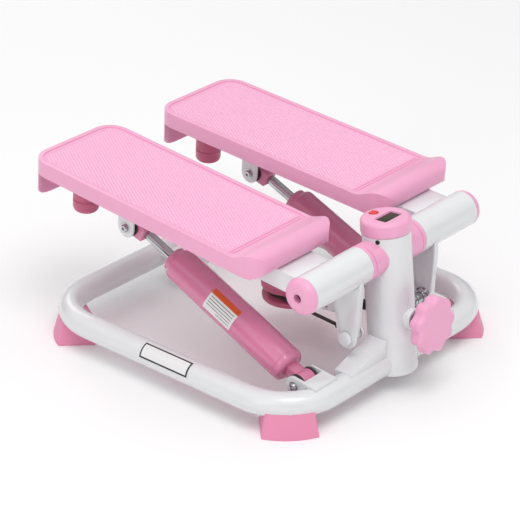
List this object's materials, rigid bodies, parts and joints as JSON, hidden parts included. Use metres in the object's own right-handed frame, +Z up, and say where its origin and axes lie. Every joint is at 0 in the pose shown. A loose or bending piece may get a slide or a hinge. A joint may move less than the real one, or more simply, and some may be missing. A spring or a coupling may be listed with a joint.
{
  "type": "mini stepper",
  "caption": "Compact stepper: a tube base loop and leaning post carry coupled foot pedals on hydraulic cylinders, a rope pulley, an adjusting knob and a counter.",
  "frame": {"origin": "on the floor, under the middle of the overall width and length", "axes": "+Z up; -Y is the front, with the post and the adjusting knob; +Y is the rear, under the pedals' free ends; +X is across, to the right seen from the front looking back"},
  "size_m": [0.4184, 0.5074, 0.2372],
  "materials": {
    "chrome": "polished",
    "circuit": "dark plastic module",
    "dark_steel": "dark oiled steel",
    "lcd_glass": "dark display window",
    "pink_cylinder": "glossy pink paint",
    "pink_plastic": "satin pink plastic",
    "pink_rubber": "matte pink rubber",
    "red_plastic": "glossy red",
    "white_coat": "glossy white powder coat"
  },
  "bodies": {
    "root": {"base_frame": "white_coat", "post": "white_coat", "gusset_left": "white_coat", "gusset_right": "white_coat", "foot_front_left": "pink_rubber", "foot_front_right": "pink_rubber", "foot_rear_left": "pink_rubber", "foot_rear_right": "pink_rubber", "lower_clevis_left": "white_coat", "lower_clevis_right": "white_coat", "lower_pin_left": "chrome", "lower_pin_right": "chrome", "rear_brace": "white_coat", "pivot_axle": "chrome", "bush_left": "pink_plastic", "bush_right": "pink_plastic", "console_housing": "pink_plastic", "lcd_window": "lcd_glass", "counter_module": "circuit", "screw_boss": "white_coat", "rope_run_left": "dark_steel", "rope_run_right": "dark_steel"},
    "reset_button": {"reset_button": "red_plastic"},
    "knob": {"adjusting_screw": "dark_steel", "adjusting_knob": "pink_plastic"},
    "carriage": {"pulley_carriage": "white_coat", "pulley_pin": "chrome", "rope_turn": "dark_steel"},
    "pulley": {"pulley": "pink_plastic"},
    "left_pedal": {"sleeve_left": "white_coat", "sleeve_ring_left": "pink_plastic", "sleeve_cap_left": "pink_plastic", "arm_left": "white_coat", "lever_left": "white_coat", "lever_bolt_left": "chrome", "lever_nut_left": "chrome", "rope_eye_left": "dark_steel", "footplate_left": "pink_plastic", "bumper_left": "pink_rubber", "upper_clevis_left": "white_coat", "upper_pin_left": "chrome"},
    "left_cylinder": {"cylinder_left": "pink_cylinder"},
    "left_rod": {"rod_left": "chrome", "rod_end_left": "pink_plastic"},
    "right_pedal": {"sleeve_right": "white_coat", "sleeve_ring_right": "pink_plastic", "sleeve_cap_right": "pink_plastic", "arm_right": "white_coat", "lever_right": "white_coat", "lever_bolt_right": "chrome", "lever_nut_right": "chrome", "rope_eye_right": "dark_steel", "footplate_right": "pink_plastic", "bumper_right": "pink_rubber", "upper_clevis_right": "white_coat", "upper_pin_right": "chrome"},
    "right_cylinder": {"cylinder_right": "pink_cylinder"},
    "right_rod": {"rod_right": "chrome", "rod_end_right": "pink_plastic"}
  },
  "joints": [
    {"name": "left_pedal_swing", "type": "hinge", "parent": "root", "child": "left_pedal", "pos_m": [0, -0.1685, 0.175], "axis": [1, 0, 0], "range_deg": [-13.2, 11.8], "deforming": ["rope_run_left"]},
    {"name": "right_pedal_swing", "type": "hinge", "parent": "root", "child": "right_pedal", "pos_m": [0, -0.1685, 0.175], "axis": [1, 0, 0], "range_deg": [-11.8, 13.2], "deforming": ["rope_run_right"]},
    {"name": "left_cylinder_swing", "type": "hinge", "parent": "root", "child": "left_cylinder", "pos_m": [-0.1315, -0.1525, 0.046], "axis": [1, 0, 0], "range_deg": [-11.7, 10.5]},
    {"name": "right_cylinder_swing", "type": "hinge", "parent": "root", "child": "right_cylinder", "pos_m": [0.0975, -0.1525, 0.046], "axis": [1, 0, 0], "range_deg": [-10.5, 11.7]},
    {"name": "left_rod_slide", "type": "slide", "parent": "left_cylinder", "child": "left_rod", "axis": [0, 0.9146, 0.4044], "range_m": [-0.0287, 0.0256]},
    {"name": "right_rod_slide", "type": "slide", "parent": "right_cylinder", "child": "right_rod", "axis": [0, 0.923, 0.3847], "range_m": [-0.0256, 0.0287]},
    {"name": "height_knob_turn", "type": "hinge", "parent": "root", "child": "knob", "pos_m": [0, -0.17857, 0.0945], "axis": [0, -0.9956, 0.0941], "range_deg": [-900, 900]},
    {"name": "carriage_slide", "type": "slide", "parent": "root", "child": "carriage", "axis": [0, 0.9956, -0.0941], "range_m": [-0.00501, 0.00501]},
    {"name": "pulley_turn", "type": "hinge", "parent": "carriage", "child": "pulley", "pos_m": [0, -0.03222, 0.08067], "axis": [0, 0.0941, 0.9956], "range_deg": [-26.5, 29.5]},
    {"name": "reset_button_press", "type": "slide", "parent": "root", "child": "reset_button", "axis": [0, 0.0941, 0.9956], "range_m": [-0.001, 0], "stiffness_N_per_m": 300, "springref_m": 0.0005}
  ],
  "couplings": [
    {"joint": "right_pedal_swing", "follows": "left_pedal_swing", "ratio": -1},
    {"joint": "left_cylinder_swing", "follows": "left_pedal_swing", "ratio": 0.879},
    {"joint": "right_cylinder_swing", "follows": "left_pedal_swing", "ratio": -0.879},
    {"joint": "left_rod_slide", "follows": "left_pedal_swing", "m_per_rad": 0.124},
    {"joint": "right_rod_slide", "follows": "left_pedal_swing", "m_per_rad": -0.124},
    {"joint": "pulley_turn", "follows": "left_pedal_swing", "ratio": -2.217},
    {"joint": "carriage_slide", "follows": "height_knob_turn", "m_per_rad": 0.00031831}
  ]
}
